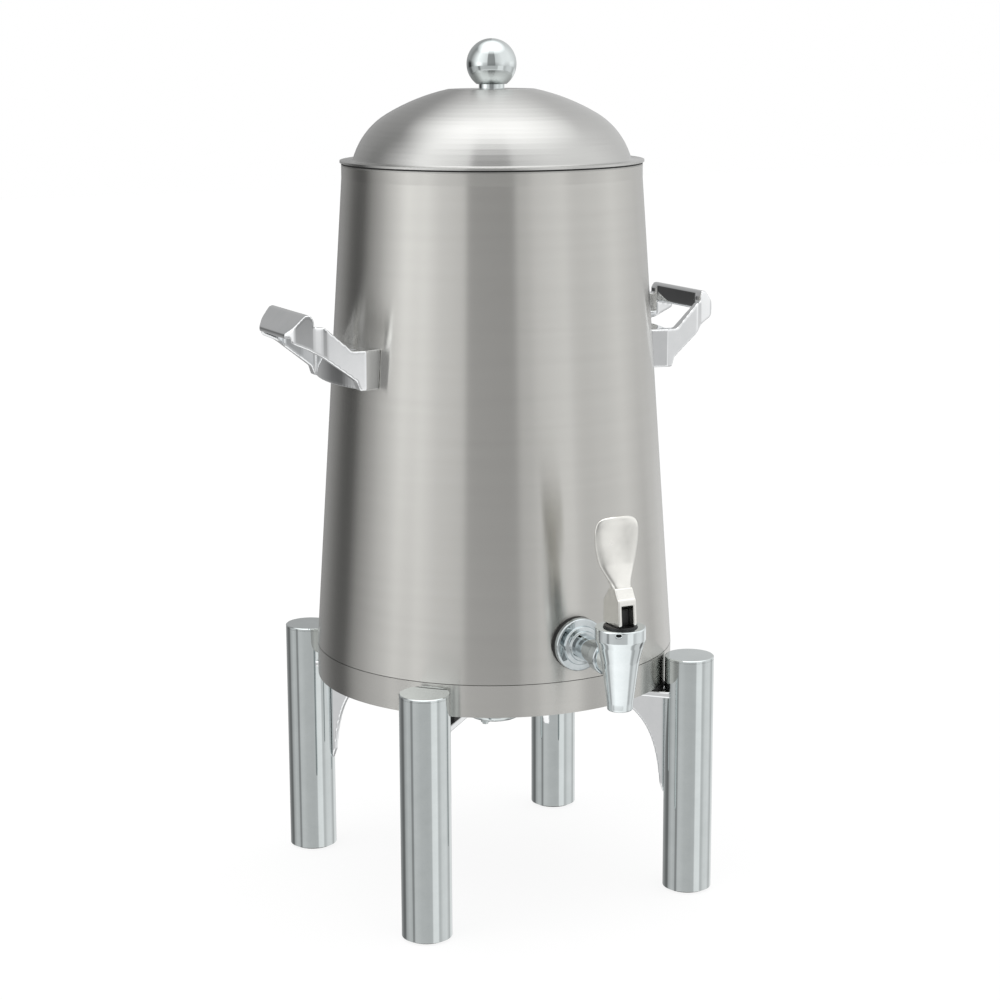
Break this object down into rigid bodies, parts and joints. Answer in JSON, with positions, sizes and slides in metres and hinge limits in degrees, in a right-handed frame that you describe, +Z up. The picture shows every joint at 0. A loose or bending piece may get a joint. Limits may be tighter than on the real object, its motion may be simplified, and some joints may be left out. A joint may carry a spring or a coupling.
{
  "type": "coffee urn",
  "caption": "Insulated tapered coffee urn on four tube legs, with a lift-off domed lid, side handles and a lever faucet.",
  "frame": {"origin": "on the urn's vertical axis, at the level of the surface that it stands on", "axes": "+Z up along the urn's axis, -Y toward the faucet and the user, +X toward the handle at the right of a user who faces the faucet"},
  "size_m": [0.3468, 0.3434, 0.6249],
  "materials": {
    "brushed_shell": "stainless steel, fine brushed round the body",
    "satin_vessel": "stainless steel, plain satin mill finish",
    "polished_trim": "stainless steel, mirror polished",
    "cast_trim": "cast metal, bright chrome plate",
    "plated_brass": "brass, bright chrome plate",
    "satin_lever": "cast metal, satin plate",
    "black_plastic": "black moulded plastic",
    "black_seal": "black rubber"
  },
  "bodies": {
    "urn": {"outer_shell": "brushed_shell", "inner_vessel": "satin_vessel", "base_ring": "brushed_shell", "base_plate": "satin_vessel", "outlet_boss": "satin_vessel", "vacuum_cap": "polished_trim", "vacuum_cap_screw": "polished_trim", "leg_tube_front_right": "polished_trim", "leg_tube_rear_right": "polished_trim", "leg_tube_rear_left": "polished_trim", "leg_tube_front_left": "polished_trim", "leg_cap_front_right": "polished_trim", "leg_cap_rear_right": "polished_trim", "leg_cap_rear_left": "polished_trim", "leg_cap_front_left": "polished_trim", "foot_pad_front_right": "black_seal", "foot_pad_rear_right": "black_seal", "foot_pad_rear_left": "black_seal", "foot_pad_front_left": "black_seal", "leg_bracket_front_right": "cast_trim", "leg_bracket_rear_right": "cast_trim", "leg_bracket_rear_left": "cast_trim", "leg_bracket_front_left": "cast_trim", "leg_spacer_front_right": "black_seal", "leg_spacer_rear_right": "black_seal", "leg_spacer_rear_left": "black_seal", "leg_spacer_front_left": "black_seal", "bracket_screws": "polished_trim", "left_handle": "cast_trim", "right_handle": "cast_trim", "handle_screws": "polished_trim", "faucet_gasket": "black_seal", "faucet_flange": "plated_brass", "faucet_shank": "plated_brass", "inner_washer": "black_seal", "lock_nut": "plated_brass", "coupling_nut": "plated_brass", "tail_washer": "black_seal", "faucet_body": "plated_brass", "faucet_bonnet": "black_plastic", "stem_spring": "satin_vessel"},
    "lid": {"lid_shell": "brushed_shell", "lid_liner": "satin_vessel", "lid_gasket": "black_seal", "lid_knob": "polished_trim", "knob_screw": "polished_trim", "knob_washer": "polished_trim"},
    "stem": {"valve_stem": "black_plastic", "seat_cup": "black_seal"},
    "lever": {"faucet_lever": "satin_lever", "lever_pin": "polished_trim"}
  },
  "joints": [
    {"name": "lid_lift", "type": "slide", "parent": "urn", "child": "lid", "axis": [0, 0, 1], "range_m": [0, 0.08]},
    {"name": "stem_lift", "type": "slide", "parent": "urn", "child": "stem", "axis": [0, 0, 1], "range_m": [0, 0.0032], "stiffness_N_per_m": 200, "springref_m": -0.003, "deforming": ["stem_spring"]},
    {"name": "lever_tilt", "type": "hinge", "parent": "stem", "child": "lever", "pos_m": [0, -0.193, 0.2442], "axis": [1, 0, 0], "range_deg": [0, 30]}
  ],
  "couplings": [
    {"joint": "stem_lift", "follows": "lever_tilt", "m_per_rad": 0.006}
  ]
}
